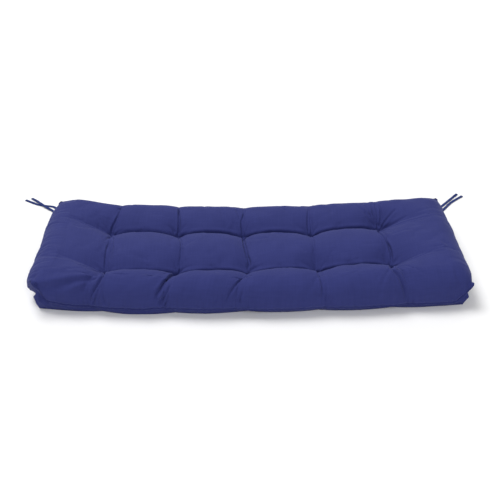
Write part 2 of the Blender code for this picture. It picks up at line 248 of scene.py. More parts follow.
def woven_cloth(name, colour, light_colour, dark_colour, pitch, relief):
    """Plain weave from the product of two cosines, with slubs, uneven dye and a fibre bloom."""
    material, shader = new_material(name)
    uv = add(material, "ShaderNodeUVMap", uv_map="cloth_metres").outputs["UV"]
    split = add(material, "ShaderNodeSeparateXYZ", {"Vector": uv})
    waves = []
    for axis in ("X", "Y"):
        turns = add(material, "ShaderNodeMath", {0: split.outputs[axis]}, {1: math.pi / pitch},
                    operation="MULTIPLY")
        waves.append(add(material, "ShaderNodeMath", {0: turns.outputs[0]}, operation="COSINE"))
    weave = add(material, "ShaderNodeMath", {0: waves[0].outputs[0], 1: waves[1].outputs[0]},
                operation="MULTIPLY")
    slubs = []
    for stretch in ((1.0, SLUB_STRETCH, 1.0), (SLUB_STRETCH, 1.0, 1.0)):
        along = add(material, "ShaderNodeMapping", {"Vector": uv}, {"Scale": stretch})
        slubs.append(add(material, "ShaderNodeTexNoise", {"Vector": along.outputs["Vector"]},
                         {"Scale": 1 / SLUB_CELL, "Detail": 1.0, "Roughness": 0.5}))
    both = add(material, "ShaderNodeMath", {0: slubs[0].outputs["Fac"], 1: slubs[1].outputs["Fac"]},
               operation="ADD")
    dye = add(material, "ShaderNodeTexNoise", {"Vector": uv},
              {"Scale": 1 / DYE_CELL, "Detail": 3.0, "Roughness": 0.55})
    mixed = add(material, "ShaderNodeMath", {0: both.outputs[0], 1: dye.outputs["Fac"]},
                operation="ADD")
    level = add(material, "ShaderNodeMapRange", {"Value": mixed.outputs[0]},
                {"From Min": 1.15, "From Max": 1.85, "To Min": 0.0, "To Max": 1.0})
    ramp = add(material, "ShaderNodeValToRGB", {"Fac": level.outputs["Result"]})
    ramp.color_ramp.elements[0].color = linear(dark_colour)
    ramp.color_ramp.elements[1].color = linear(light_colour)
    middle = ramp.color_ramp.elements.new(0.5)
    middle.color = linear(colour)
    material.node_tree.links.new(ramp.outputs["Color"], shader.inputs["Base Color"])
    slub_bump = add(material, "ShaderNodeBump", {"Height": both.outputs[0]},
                    {"Strength": 0.03, "Distance": relief})
    bump = add(material, "ShaderNodeBump",
               {"Height": weave.outputs[0], "Normal": slub_bump.outputs["Normal"]},
               {"Strength": 0.30, "Distance": relief})
    material.node_tree.links.new(bump.outputs["Normal"], shader.inputs["Normal"])
    finish = {"Roughness": 0.86, "Specular IOR Level": 0.25, "Sheen Weight": 0.15,
              "Sheen Roughness": 0.45, "Sheen Tint": linear("#8D93C8")}
    for key, value in finish.items():
        shader.inputs[key].default_value = value
    return material


cover_cloth = woven_cloth("polyester_plain_weave_blue", "#2B316B", "#2D336E", "#292F68",
                          THREAD_PITCH, 0.25 * MM)
tie_cloth = woven_cloth("polyester_folded_strip_blue", "#1D2D66", "#23346F", "#192659",
                        THREAD_PITCH, 0.2 * MM)
print("two woven cloths, threads", round(THREAD_PITCH / MM, 2), "mm apart")

# %% [markdown]
# A curve with a bevel would give a round cord of one thickness. So a flat profile is carried along the
# route instead: rounded where the cloth is folded, with a slot where its two edges meet, and thicker
# at the hem. All its rings are worked out as one array and joined into a closed tube.

# %% Ties
PROFILE_STEPS = 20
STRIP_THICKNESS = 0.0033     # four layers of cloth, lying loose
STRIP_PRESS = 0.86           # share of that which is left once they are stitched
SLOT_DEPTH = 0.0006          # where the two folded edges meet
HEM_LENGTH = 0.009
HEM_GAIN = 0.22              # how much thicker the turned-in end is
END_CLOSING = 0.0012         # length over which both ends close
TURN_HEIGHT = 0.02           # height above the seat at which a tie has turned in full
TIE_TURNS = {                # degrees that each turns about its route while it is off the seat
    "tie_left_outer": 14, "tie_left_inner": -12, "tie_right_outer": 10, "tie_right_inner": -14,
}


def strip(route, turn_degrees):
    """A flat profile along a route.

    The profile is a flattened circle: half width times cosine, half thickness times a cosine-like
    power of sine, with a slot pressed in at one edge. It starts level, turns a little in the air and
    lies flat again on the seat. Its first and last rings close to a line.
    """
    step = np.gradient(route, axis=0)
    step /= np.linalg.norm(step, axis=1, keepdims=True)
    side = np.cross(step, (0.0, 0.0, 1.0))
    side /= np.linalg.norm(side, axis=1, keepdims=True)
    lift = np.cross(side, step)
    travel = travel_along(route)
    share = travel / travel[-1]
    turn = math.radians(turn_degrees) * np.clip((route[:, 2] - TIE_REST) / TURN_HEIGHT, 0, 1)
    across = side * np.cos(turn)[:, None] + lift * np.sin(turn)[:, None]
    over = lift * np.cos(turn)[:, None] - side * np.sin(turn)[:, None]
    angle = np.linspace(0, 2 * np.pi, PROFILE_STEPS, endpoint=False)
    wide = np.sign(np.cos(angle)) * np.abs(np.cos(angle)) ** 0.75
    slot = SLOT_DEPTH * np.exp(-(np.sin(angle) / 0.2) ** 2) * (np.cos(angle) > 0)
    thick = np.sign(np.sin(angle)) * np.abs(np.sin(angle)) ** 0.45
    hem = 1 + HEM_GAIN * np.clip((travel - travel[-1] + HEM_LENGTH) / 0.001, 0, 1)
    closing = np.sqrt(np.clip(np.minimum(travel, travel[-1] - travel) / END_CLOSING, 0, 1))
    wander = 1 + 0.04 * np.sin(37 * share + turn_degrees) + 0.03 * np.sin(83 * share)
    half_wide = TIE_WIDTH / 2 * wander * (0.55 + 0.45 * closing)
    half_thick = STRIP_THICKNESS / 2 * hem * (0.02 + 0.98 * closing) * STRIP_PRESS
    rings = (route[:, None, :]
             + across[:, None, :] * (half_wide[:, None] * wide - slot)[..., None]
             + over[:, None, :] * (half_thick[:, None] * thick)[..., None])
    return rings, travel


def tube_faces(rings, around):
    """Faces of a tube of rings, and a fan of pairs of triangles as quads across both ends."""
    index = np.arange(rings * around).reshape(rings, around)
    after = np.roll(index, -1, axis=1)
    walls = np.stack([index[:-1], after[:-1], after[1:], index[1:]], -1).reshape(-1, 4)
    half = around // 2
    low = np.arange(half - 1)
    caps = []
    for ring, out in ((0, False), (rings - 1, True)):
        first = index[ring]
        quad = np.stack([first[low], first[low + 1],
                         first[around - 2 - low], first[around - 1 - low]], -1)
        caps.append(quad if out else quad[:, ::-1])
    return np.vstack([walls, *caps])


def set_cloth_map(piece, points_uv):
    """Give each corner of each face the cloth place of its point, in metres."""
    mesh = piece.data
    layer = mesh.uv_layers.new(name="cloth_metres")
    corner = np.empty(len(mesh.loops), dtype=np.int32)
    mesh.loops.foreach_get("vertex_index", corner)
    layer.data.foreach_set("uv", points_uv[corner].astype(np.float32).ravel())


for name, route in routes.items():
    rings, travel = strip(route, TIE_TURNS[name])
    tie = new_object(name + "_strip", rings.reshape(-1, 3), tube_faces(TIE_RINGS, PROFILE_STEPS),
                     tie_cloth)
    around = np.abs(np.linspace(-1, 1, PROFILE_STEPS)) * TIE_WIDTH
    cloth_place = np.stack(np.broadcast_arrays(travel[:, None], around[None, :]), -1)
    set_cloth_map(tie, cloth_place.reshape(-1, 2))
    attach(tie, "root")
    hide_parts(name)
    print(tie.name, "faces:", len(tie.data.polygons))

# %% [markdown]
# The cushion's cover is a top panel, a side band and an underside, sewn together and filled with loose
# fibre. Ten threads pull it together in two rows of five, and the cloth rises into pillows between
# them. Its form could be sculpted, but a function of the place on the flat cloth is exact and can be
# asked for at any fineness, so a coarse copy can be simulated and a fine one shown.

# %% Cut sizes of the cover
PANEL_LENGTH = 1.220
PANEL_DEPTH = 0.458
HALF_LENGTH = PANEL_LENGTH / 2
HALF_DEPTH = PANEL_DEPTH / 2
SETBACK = 0.037              # how far both ends lie behind the middle of the cushion
SETBACK_BALANCE = 0.523
CROWN = 0.110
END_LIFT = 0.011
LIFT_POWER = 3
ROLL = 0.060                 # plan width of the rounded edge
ROLL_ANGLE = math.radians(102)
ROLL_EASE = 1.6
EDGE_FALL = 0.074
SWELL_LEFT = 0.023
SWELL_RIGHT = 0.016
SWELL_POWER = 9
EAR_POWER = 1.4
BLUNT_POWER = 5
TIP_POWER = 5                # how close to its tip an ear's seams have dropped
DROP_WIDTH_POWER = 4         # how close to the seam that drop stays
RISE_REACH = 0.075           # how far along a seam it starts to rise towards an ear
EARS = [                     # side along X and Y, height of the ear, drop and slow rise of the seams
                             # beside it, and how far its tip is drawn in along X and along Y
    {"x": -1, "y": -1, "height": 0.099, "drop": 0.026, "rise": 0.046, "blunt": 0.007},
    {"x": 1, "y": -1, "height": 0.080, "drop": 0.036, "rise": 0.0, "blunt": 0.003},
    {"x": -1, "y": 1, "height": 0.086, "drop": 0.008, "rise": 0.0, "blunt": 0.012},
    {"x": 1, "y": 1, "height": 0.086, "drop": 0.008, "rise": 0.0, "blunt": 0.008},
]
ROWS = (-0.096, 0.092)
COLUMNS = (-0.427, -0.219, -0.015, 0.189, 0.400)
TUFT_DEPTH = 0.059
TUFT_SHIFTS = [              # column, front row along X and Y, back row along X and Y
    {"column": 0, "front_x": 0.018, "front_y": -0.030, "back_x": 0.006, "back_y": -0.018},
    {"column": 1, "front_x": 0.013, "front_y": -0.019, "back_x": -0.002, "back_y": -0.016},
    {"column": 2, "front_x": 0.012, "front_y": -0.017, "back_x": -0.005, "back_y": -0.015},
    {"column": 3, "front_x": -0.005, "front_y": -0.013, "back_x": -0.006, "back_y": -0.017},
    {"column": 4, "front_x": -0.004, "front_y": -0.006, "back_x": -0.008, "back_y": -0.003},
]
ROW_VALLEY = 0.036
END_VALLEY = 0.036
END_REACH = 0.150
COLUMN_VALLEYS = [           # depths behind, between and before the rows, leans at both rims, bend
    {"back": 0.010, "middle": 0.014, "front": 0.014,
     "lean_back": 0.034, "lean_front": -0.030, "bend": 0.000},
    {"back": 0.009, "middle": 0.012, "front": 0.022,
     "lean_back": -0.004, "lean_front": -0.030, "bend": 0.010},
    {"back": 0.007, "middle": 0.022, "front": 0.015,
     "lean_back": -0.004, "lean_front": -0.035, "bend": -0.004},
    {"back": 0.006, "middle": 0.008, "front": 0.012,
     "lean_back": 0.000, "lean_front": 0.010, "bend": 0.002},
    {"back": 0.001, "middle": 0.012, "front": 0.014,
     "lean_back": 0.000, "lean_front": 0.030, "bend": 0.006},
]
RIM_SHARE = 0.30
ROW_POWER = 2.2
COLUMN_POWER = 3.2
COLUMN_REACH = 0.103
ROW_REACH_IN = 0.094
ROW_REACH_OUT = 0.078
BASE_INSET = 0.013
BASE_NOTCH = 0.008
FRONT_PLACES = (-0.61, -0.36, -0.23, -0.04, 0.10, 0.26, 0.36, 0.61)
FRONT_DRAWS = (0.003, -0.004, 0.001, 0.010, 0.010, 0.008, 0.006, 0.001)
BASE_TUFT = 0.024
BASE_REACH = 0.085
BASE_PRESS = 0.003

# %% [markdown]
# The form is built up in layers: a slab that is flat on top and rolls over at its edges, ears at its
# corners, then tufts and valleys drawn in along the slab's normals, and a shift in plan to where the
# tufts really lie. Each layer is one formula that can be read and changed by itself.

# %% Form of the cover


def ear_values(across, along, key):
    """A value of the nearest corner's ear, blended between the four corners."""
    share_x = 0.5 + 0.5 * across / HALF_LENGTH
    share_y = 0.5 + 0.5 * along / HALF_DEPTH
    total = np.zeros_like(across)
    for ear in EARS:
        weight_x = share_x if ear["x"] > 0 else 1 - share_x
        weight_y = share_y if ear["y"] > 0 else 1 - share_y
        total = total + ear[key] * weight_x * weight_y
    return total


def slab(across, along):
    """The crowned form without its tufts: flat on top, rolled over at the edges, eared at the corners.

    A point of the flat panel in the edge zone turns through ROLL_ANGLE on an arc. Towards a corner
    the arc opens into a straight run out to the ear, with the other direction's share of the edge.
    """
    turn_x = np.clip((np.abs(across) - (HALF_LENGTH - ROLL)) / ROLL, 0, 1)
    turn_y = np.clip((np.abs(along) - (HALF_DEPTH - ROLL)) / ROLL, 0, 1)
    hold_x = 1 - turn_y ** EAR_POWER
    hold_y = 1 - turn_x ** EAR_POWER
    angle_x = ROLL_ANGLE * turn_x ** ROLL_EASE
    angle_y = ROLL_ANGLE * turn_y ** ROLL_EASE
    swelled = np.where(across < 0, SWELL_LEFT, SWELL_RIGHT)
    belly = swelled * hold_x * np.sin(angle_x) * (1 - (np.abs(along) / HALF_DEPTH) ** SWELL_POWER)
    reach_x = ROLL * (hold_x * np.sin(angle_x) + (1 - hold_x) * turn_x) + belly
    reach_y = ROLL * (hold_y * np.sin(angle_y) + (1 - hold_y) * turn_y)
    blunt = ear_values(across, along, "blunt") * (turn_x * turn_y) ** BLUNT_POWER
    x = np.minimum(np.abs(across), HALF_LENGTH - ROLL) + reach_x - blunt
    y = np.minimum(np.abs(along), HALF_DEPTH - ROLL) + reach_y - blunt
    top = CROWN + END_LIFT * (np.abs(across) / HALF_LENGTH) ** LIFT_POWER
    fall = EDGE_FALL * (2 - np.cos(hold_x * angle_x) - np.cos(hold_y * angle_y))
    to_ear = (top - ear_values(across, along, "height")) * turn_x * turn_y
    beside = turn_x * (1 - turn_x ** TIP_POWER) * turn_y ** DROP_WIDTH_POWER
    drop = ear_values(across, along, "drop") * beside
    before_tip = np.exp((np.abs(across) - HALF_LENGTH) / RISE_REACH) * (1 - turn_x ** TIP_POWER)
    rise = ear_values(across, along, "rise") * before_tip * turn_y ** DROP_WIDTH_POWER
    return np.stack([np.sign(across) * x, np.sign(along) * y, top - fall - to_ear - drop + rise], -1)


def closeness(distance, reach, power):
    """1 on a valley's line, falling to 0 at its reach."""
    return (1 - np.clip(np.abs(distance) / reach, 0, 1)) ** power


def column_gaps(across):
    """Distance from each column of tufts, one layer for each column."""
    return np.abs(across[None] - np.reshape(COLUMNS, (-1,) + (1,) * across.ndim))


def row_gap(along):
    """Distance from the nearer row of tufts."""
    return np.minimum(np.abs(along - ROWS[0]), np.abs(along - ROWS[1]))


def rim_gap(across, along):
    """Distance from the nearest seam."""
    return np.minimum(HALF_LENGTH - np.abs(across), HALF_DEPTH - np.abs(along))


def tuft_relief(across, along):
    """Depth of the tufted relief below the slab, from the tufts and the valleys between them."""
    gaps = column_gaps(across)
    nearest = gaps.argmin(0)
    to_row = row_gap(along)
    past_last = np.maximum(COLUMNS[0] - across, across - COLUMNS[-1])
    beyond = np.clip(past_last / END_REACH, 0, 1)
    between_rows = (along > ROWS[0]) & (along < ROWS[1])
    on_column = closeness(gaps.min(0), COLUMN_REACH, COLUMN_POWER)
    on_row = closeness(to_row, np.where(between_rows, ROW_REACH_IN, ROW_REACH_OUT), ROW_POWER)
    row_depth = np.where(past_last > 0, END_VALLEY * (1 - beyond), ROW_VALLEY)
    to_rim = np.clip((to_row - ROW_REACH_OUT) / (HALF_DEPTH - ROWS[1] - ROW_REACH_OUT), 0, 1)
    table = {key: np.array([row[key] for row in COLUMN_VALLEYS])[nearest]
             for key in ("back", "middle", "front")}
    outer = np.where(along > 0, table["back"], table["front"]) * (1 - (1 - RIM_SHARE) * to_rim)
    column_depth = np.where(between_rows, table["middle"], outer)
    return (TUFT_DEPTH * on_column * on_row
            + row_depth * (1 - on_column) * on_row
            + column_depth * on_column * (1 - on_row))


def tuft_shift(across, along):
    """Plan shift of the cloth: from the even lattice to the real tufts, and to each valley's line."""
    stations = [-HALF_LENGTH, *COLUMNS, HALF_LENGTH]

    def line(rows, key):
        """A table's value for each place, straight from column to column and 0 at both ends."""
        return np.interp(across, stations, [0.0, *[row[key] for row in rows], 0.0])

    share = np.clip((along - ROWS[0]) / (ROWS[1] - ROWS[0]), 0, 1)
    outward = np.where(along > 0, (along - ROWS[1]) / (HALF_DEPTH - ROWS[1]),
                       (ROWS[0] - along) / (HALF_DEPTH + ROWS[0]))
    outward = np.clip(outward, 0, 1)
    rim_x = np.where(along > 0, line(COLUMN_VALLEYS, "lean_back"), line(COLUMN_VALLEYS, "lean_front"))
    inner = []
    for axis in ("x", "y"):
        front = line(TUFT_SHIFTS, "front_" + axis)
        back = line(TUFT_SHIFTS, "back_" + axis)
        inner.append(((1 - share) * front + share * back) * (1 - outward))
    bend = line(COLUMN_VALLEYS, "bend") * np.sin(np.pi * share)
    return inner[0] + rim_x * outward + bend, inner[1]


def bow(points):
    """Set both ends back from the middle, evenly about the origin."""
    moved = points.copy()
    moved[..., 1] += SETBACK * ((points[..., 0] / HALF_LENGTH) ** 2 - SETBACK_BALANCE)
    return moved


def outward_normals(grid):
    """Unit normals of a grid of points, from the cross product of its two directions."""
    normal = np.cross(np.gradient(grid, axis=0), np.gradient(grid, axis=1))
    return normal / np.maximum(np.linalg.norm(normal, axis=-1, keepdims=True), 1e-12)


def top_panel(across, along):
    """Points of the top panel: the slab, pulled in along its normal by the tufted relief."""
    form = slab(across, along)
    form = form - outward_normals(form) * tuft_relief(across, along)[..., None]
    shift_x, shift_y = tuft_shift(across, along)
    form[..., 0] += shift_x
    form[..., 1] += shift_y
    return bow(form)


def base_panel(across, along):
    """Points of the underside: flat on the seat, drawn up in a soft cone at each tuft."""
    gaps = column_gaps(across)
    notch = BASE_NOTCH * closeness(gaps.min(0), COLUMN_REACH, ROW_POWER)
    front_draw = np.where(along < 0, np.interp(across, FRONT_PLACES, FRONT_DRAWS), 0.0)
    scale_x = (HALF_LENGTH - BASE_INSET) / HALF_LENGTH
    scale_y = (HALF_DEPTH - BASE_INSET - notch - front_draw) / HALF_DEPTH
    height = BASE_TUFT * closeness(np.hypot(gaps.min(0), row_gap(along)), BASE_REACH, ROW_POWER)
    height = np.maximum(height - BASE_PRESS, 0.0)
    return bow(np.stack([across * scale_x, along * scale_y, height], -1))


middle = top_panel(*np.meshgrid([0.0, 0.01], [0.0, 0.01], indexing="ij"))[0, 0]
print("form is", round(float(middle[2]) / MM, 1), "mm high in its middle")

# %% [markdown]
# The cloth needs its points close together where it creases, along the tufts and near the seams, and
# far apart on the pillows. So the lines of the grid crowd where one zone of the panel meets the next.

# %% Grid lines
CROWDING = 0.50


def zone_lines(edges, steps, crowded):
    """Lines from edge to edge of each zone, crowded at both its ends, its far end or its near end.

    The share of the way is eased by a sine: s - c sin(2 pi s) / (2 pi) crowds both ends, and
    s + c sin(pi s) / pi crowds the far end, and with a minus the near end.
    """
    lines = [edges[0]]
    for start, end, count, where in zip(edges[:-1], edges[1:], steps, crowded):
        share = np.linspace(0.0, 1.0, count + 1)[1:]
        if where == "both":
            share = share - CROWDING * np.sin(2 * np.pi * share) / (2 * np.pi)
        elif where == "far":
            share = share + CROWDING * np.sin(np.pi * share) / np.pi
        elif where == "near":
            share = share - CROWDING * np.sin(np.pi * share) / np.pi
        lines.extend(start + (end - start) * share)
    return np.array(lines)


def panel_grid(steps_x, steps_y):
    """Grid of places on the panel, from the steps in a rolled edge, a margin and a cell each way."""
    flat_x = HALF_LENGTH - ROLL
    flat_y = HALF_DEPTH - ROLL
    cells = len(COLUMNS) - 1
    lines_x = zone_lines([-HALF_LENGTH, -flat_x, *COLUMNS, flat_x, HALF_LENGTH],
                         [*steps_x[:2], *[steps_x[2]] * cells, *steps_x[1::-1]],
                         ["near", "far"] + ["both"] * cells + ["near", "far"])
    lines_y = zone_lines([-HALF_DEPTH, -flat_y, *ROWS, flat_y, HALF_DEPTH],
                         [*steps_y, *steps_y[1::-1]], ["near", "far", "both", "near", "far"])
    return np.meshgrid(lines_x, lines_y, indexing="ij")


coarse_u, coarse_v = panel_grid((10, 12, 26), (10, 9, 26))
fine_u, fine_v = panel_grid((32, 44, 84), (34, 34, 92))
print("coarse grid", coarse_u.shape, "and fine grid", fine_u.shape)

# %% [markdown]
# Top panel, side band and underside become one closed skin, as the sewn cover is. Both panels have the
# same grid, so the band's rings join their rims point by point, and no gap or doubled edge is left.

# %% One closed skin


def rim_walk(shape):
    """Grid places around the rim of a panel, counter-clockwise seen from above."""
    rows, columns = shape
    front = np.stack([np.arange(rows - 1), np.zeros(rows - 1, int)], 1)
    right_side = np.stack([np.full(columns - 1, rows - 1), np.arange(columns - 1)], 1)
    back = np.stack([np.arange(rows - 1, 0, -1), np.full(rows - 1, columns - 1)], 1)
    left_side = np.stack([np.zeros(columns - 1, int), np.arange(columns - 1, 0, -1)], 1)
    return np.vstack([front, right_side, back, left_side])


def skin(top, base, rings):
    """Points and faces of the cover: top panel, rings of the side band, and underside."""
    rows, columns = top.shape[:2]
    walk = rim_walk((rows, columns))
    top_index = np.arange(rows * columns).reshape(rows, columns)
    base_index = top_index + rows * columns
    band_index = 2 * rows * columns + np.arange(len(rings) * len(walk)).reshape(len(rings), len(walk))
    loops = np.vstack([top_index[walk[:, 0], walk[:, 1]], band_index,
                       base_index[walk[:, 0], walk[:, 1]]])
    quads = [np.stack([grid[:-1, :-1], grid[1:, :-1], grid[1:, 1:], grid[:-1, 1:]], -1).reshape(-1, 4)
             for grid in (top_index, base_index)]
    after = np.roll(loops, -1, axis=1)
    band = np.stack([loops[1:], after[1:], after[:-1], loops[:-1]], -1).reshape(-1, 4)
    points = np.vstack([top.reshape(-1, 3), base.reshape(-1, 3), np.reshape(rings, (-1, 3))])
    return points, np.vstack([quads[0], quads[1][:, ::-1], band])


def straight_rings(top, base, count):
    """Rings of a plain side band, spread evenly from seam to seam."""
    walk = rim_walk(top.shape[:2])
    upper, lower = top[walk[:, 0], walk[:, 1]], base[walk[:, 0], walk[:, 1]]
    share = (np.arange(1, count + 1) / (count + 1))[:, None, None]
    return upper + (lower - upper) * share


print("points around the rim:", len(rim_walk(fine_u.shape)))

# %% [markdown]
# The filling pushes the cloth out, and the tufts hold it back, so it swells and gathers. A cloth
# simulation finds that by itself: the coarse skin is pinned at its tufts, seams and underside, gets a
# little more cloth than the form needs, and is blown up for some frames without gravity. The form has
# its right size already, so only the movement is kept, and it is eased: a pillow as a whole may swell
# by three millimetres at the most, and a crease in it may move by seven.

# %% Swelling by cloth simulation
SWELL_FRAMES = 24
PRESSURE = 4.0
SPARE_CLOTH = 0.035          # share by which the cover is larger than the form
BULK_CAP = 0.003             # the furthest that a pillow as a whole may swell
CREASE_CAP = 0.007           # the furthest that a crease in it may move
BULK_ROUNDS = 24             # rounds of averaging that tell the whole pillow from its creases
TUFT_HOLD = 0.012            # radius that a tuft's thread holds still
VALLEY_PIN = 0.25            # how firmly a valley is held, against 1 at a tuft
VALLEY_PIN_WIDTH = 0.006
SEAM_PIN_WIDTH = 0.001
TUFT_FADE = 0.035            # how far from a tuft, a valley and a seam the movement grows back
VALLEY_FADE = 0.012
RIM_FADE = 0.020
VALLEY_LOSS = 0.65           # share of the movement that is taken away in a valley
CLOTH_SETTINGS = {
    "quality": 6, "mass": 0.3, "tension_stiffness": 20, "compression_stiffness": 20,
    "shear_stiffness": 8, "bending_stiffness": 0.3, "air_damping": 2, "vertex_group_mass": "held",
    "pin_stiffness": 1.0, "shrink_min": -SPARE_CLOTH, "use_pressure": True,
    "uniform_pressure_force": PRESSURE,
}


def pillow_share(across, along):
    """0 at a tuft and at the seams, 1 on the open pillows, and part of the way along the valleys."""
    gap_x, gap_y = column_gaps(across).min(0), row_gap(along)
    from_tuft = 1 - np.exp(-np.hypot(gap_x, gap_y) / TUFT_FADE)
    from_valley = 1 - VALLEY_LOSS * np.exp(-np.minimum(gap_x, gap_y) / VALLEY_FADE)
    return from_tuft * from_valley * (1 - np.exp(-rim_gap(across, along) / RIM_FADE))


def soft_cap(shift, limit):
    """Movement with its length eased to stay under a limit: size times limit / (limit + size)."""
    size = np.linalg.norm(shift, axis=-1, keepdims=True)
    return shift * limit / (limit + size)


def averaged(field, rounds):
    """A field on the grid after each point has been averaged with its neighbours, many times."""
    for _ in range(rounds):
        wide = np.pad(field, ((1, 1), (1, 1), (0, 0)), mode="edge")
        beside = wide[:-2, 1:-1] + wide[2:, 1:-1] + wide[1:-1, :-2] + wide[1:-1, 2:]
        field = 0.5 * field + 0.125 * beside
    return field


def swell(across, along):
    """Movement of each point of the top panel when the filled cover is blown up."""
    top, base = top_panel(across, along), base_panel(across, along)
    points, faces = skin(top, base, straight_rings(top, base, 3))
    trial = new_object("swell_trial", points, faces, cover_cloth)
    gap_x, gap_y = column_gaps(across).min(0), row_gap(along)
    held = np.exp(-(np.hypot(gap_x, gap_y) / TUFT_HOLD) ** 4)
    in_valley = VALLEY_PIN * np.exp(-(np.minimum(gap_x, gap_y) / VALLEY_PIN_WIDTH) ** 2)
    held = np.maximum(held, in_valley)
    held = np.maximum(held, np.where(rim_gap(across, along) < SEAM_PIN_WIDTH, 1.0, 0.0))
    weights = np.concatenate([held.ravel(), np.ones(len(points) - held.size)])
    group = trial.vertex_groups.new(name="held")
    for level in np.unique(np.round(weights, 2)):
        if level > 0:
            chosen = np.nonzero(np.round(weights, 2) == level)[0]
            group.add(chosen.tolist(), float(level), "REPLACE")
    cloth = trial.modifiers.new("cloth", "CLOTH")
    for key, setting in CLOTH_SETTINGS.items():
        setattr(cloth.settings, key, setting)
    cloth.settings.effector_weights.gravity = 0.0
    cloth.collision_settings.use_collision = False
    cloth.point_cache.frame_start = 1
    cloth.point_cache.frame_end = SWELL_FRAMES
    for number in range(1, SWELL_FRAMES + 1):
        bpy.context.scene.frame_set(number)
    result = trial.evaluated_get(bpy.context.evaluated_depsgraph_get())
    moved = np.empty(len(points) * 3)
    result.data.vertices.foreach_get("co", moved)
    bpy.context.scene.frame_set(1)
    bpy.data.objects.remove(trial, do_unlink=True)
    shift = (moved.reshape(-1, 3) - points)[:across.size].reshape(*across.shape, 3)
    bulk = averaged(shift, BULK_ROUNDS)
    creases = shift - bulk
    for name, field in (("swelling", bulk), ("creases", creases)):
        size = np.linalg.norm(field, axis=-1)
        print(name, "in mm, largest", round(size.max() / MM, 1), "mean", round(size.mean() / MM, 1))
    share = pillow_share(across, along)[..., None]
    return soft_cap(bulk, BULK_CAP * share + 1e-6) + soft_cap(creases, CREASE_CAP) * share


def spread_weights(fine, coarse):
    """Weights that carry values from coarse lines to fine ones, by a cubic through four lines."""
    place = np.interp(fine, coarse, np.arange(len(coarse)))
    gap = np.abs(place[:, None] - np.arange(len(coarse))[None, :])
    near = 1.5 * gap ** 3 - 2.5 * gap ** 2 + 1
    far = -0.5 * gap ** 3 + 2.5 * gap ** 2 - 4 * gap + 2
    weights = np.where(gap < 1, near, np.where(gap < 2, far, 0.0))
    return weights / weights.sum(1, keepdims=True)


swelling = swell(coarse_u, coarse_v)
weights_u = spread_weights(fine_u[:, 0], coarse_u[:, 0])
weights_v = spread_weights(fine_v[0], coarse_v[0])
fine_swelling = np.einsum("ai,ijk,bj->abk", weights_u, swelling, weights_v)
kept = np.linalg.norm(fine_swelling, axis=-1).max()
print("kept movement in mm, largest", round(float(kept) / MM, 1))
